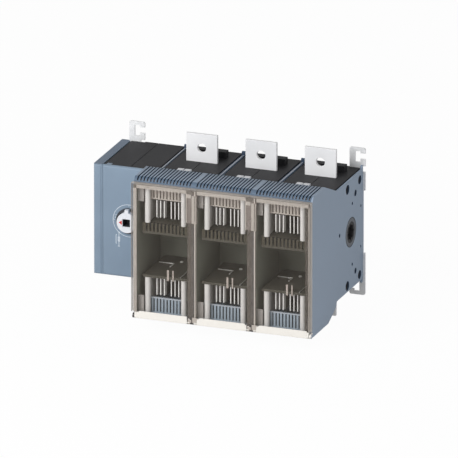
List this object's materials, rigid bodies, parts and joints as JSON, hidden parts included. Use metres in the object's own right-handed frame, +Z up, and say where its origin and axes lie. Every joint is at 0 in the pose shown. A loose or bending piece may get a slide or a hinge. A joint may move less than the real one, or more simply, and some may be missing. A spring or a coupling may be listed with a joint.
{
  "type": "fuse switch disconnector",
  "caption": "Low-voltage fuse switch disconnector: side drive with turning selector, poles with fuse jaws behind a smoky hinged cover, terminal lugs and wall brackets.",
  "frame": {"origin": "centre of the mounting plane at the back of the body", "axes": "+X to the right seen from the front, +Y back towards the mounting wall, +Z up"},
  "size_m": [0.3893, 0.2305, 0.262],
  "materials": {
    "black_plastic": "fine grained moulded plastic",
    "blue_grey_plastic": "satin moulded plastic",
    "drive_front_plastic": "satin moulded plastic",
    "dark_plastic": "satin moulded plastic",
    "white_plastic": "satin moulded plastic",
    "red_plastic": "satin print",
    "bearing_plastic": "natural moulded plastic",
    "frosted_plastic": "frosted clear moulded plastic",
    "smoky_clear_plastic": "smoky clear moulded plastic",
    "pale_plastic": "pale translucent moulded plastic",
    "tinned_copper": "tin plated, satin",
    "silvered_copper": "silver plated, satin",
    "steel": "bright zinc plated",
    "spring_steel": "bright spring steel",
    "zinc_plate": "galvanised sheet"
  },
  "bodies": {
    "housing": {"pole_base_1": "black_plastic", "fuse_housing_1": "blue_grey_plastic", "line_terminal_1": "tinned_copper", "load_terminal_1": "tinned_copper", "fuse_jaw_upper_1": "silvered_copper", "fuse_jaw_lower_1": "silvered_copper", "contact_carrier_1": "black_plastic", "contact_guards_1": "frosted_plastic", "partition_1": "blue_grey_plastic", "pole_base_2": "black_plastic", "fuse_housing_2": "blue_grey_plastic", "line_terminal_2": "tinned_copper", "load_terminal_2": "tinned_copper", "fuse_jaw_upper_2": "silvered_copper", "fuse_jaw_lower_2": "silvered_copper", "contact_carrier_2": "black_plastic", "contact_guards_2": "frosted_plastic", "partition_2": "blue_grey_plastic", "pole_base_3": "black_plastic", "fuse_housing_3": "blue_grey_plastic", "line_terminal_3": "tinned_copper", "load_terminal_3": "tinned_copper", "fuse_jaw_upper_3": "silvered_copper", "fuse_jaw_lower_3": "silvered_copper", "contact_carrier_3": "black_plastic", "contact_guards_3": "frosted_plastic", "partition_3": "blue_grey_plastic", "end_wall": "blue_grey_plastic", "drive_base": "black_plastic", "drive_front_cover": "drive_front_plastic", "drive_side_cap": "drive_front_plastic", "selector_collar": "dark_plastic", "input_bush": "bearing_plastic", "shaft_bearing": "bearing_plastic", "drive_spring": "spring_steel", "cover_hinge_pins": "steel", "jaw_springs": "spring_steel", "pole_markers": "white_plastic", "tie_rods": "steel", "bracket_upper_left": "zinc_plate", "bracket_lower_left": "zinc_plate", "bracket_upper_right": "zinc_plate", "bracket_lower_right": "zinc_plate", "bracket_screws": "steel"},
    "switch_rotor": {"contact_drum_1": "black_plastic", "contact_drum_2": "black_plastic", "contact_drum_3": "black_plastic", "moving_contacts_1": "silvered_copper", "moving_contacts_2": "silvered_copper", "moving_contacts_3": "silvered_copper", "switch_shaft": "steel", "coupling_ring": "black_plastic", "bevel_gear_shaft": "steel"},
    "selector": {"selector_disc": "white_plastic", "selector_pointer": "red_plastic", "selector_socket": "dark_plastic", "input_shaft": "steel", "bevel_gear_input": "steel"},
    "cover": {"fuse_cover": "smoky_clear_plastic", "cover_hinge_rails": "pale_plastic"}
  },
  "joints": [
    {"name": "shaft_turn", "type": "hinge", "parent": "housing", "child": "switch_rotor", "pos_m": [0.05, -0.056, 0.003], "axis": [1, 0, 0], "range_deg": [0, 90]},
    {"name": "selector_turn", "type": "hinge", "parent": "housing", "child": "selector", "pos_m": [-0.136, -0.12, 0.003], "axis": [0, 1, 0], "range_deg": [0, 90]},
    {"name": "cover_swing", "type": "hinge", "parent": "housing", "child": "cover", "pos_m": [0.05, -0.2265, -0.1065], "axis": [1, 0, 0], "range_deg": [0, 100]}
  ],
  "couplings": [
    {"joint": "selector_turn", "follows": "shaft_turn", "ratio": 1}
  ]
}
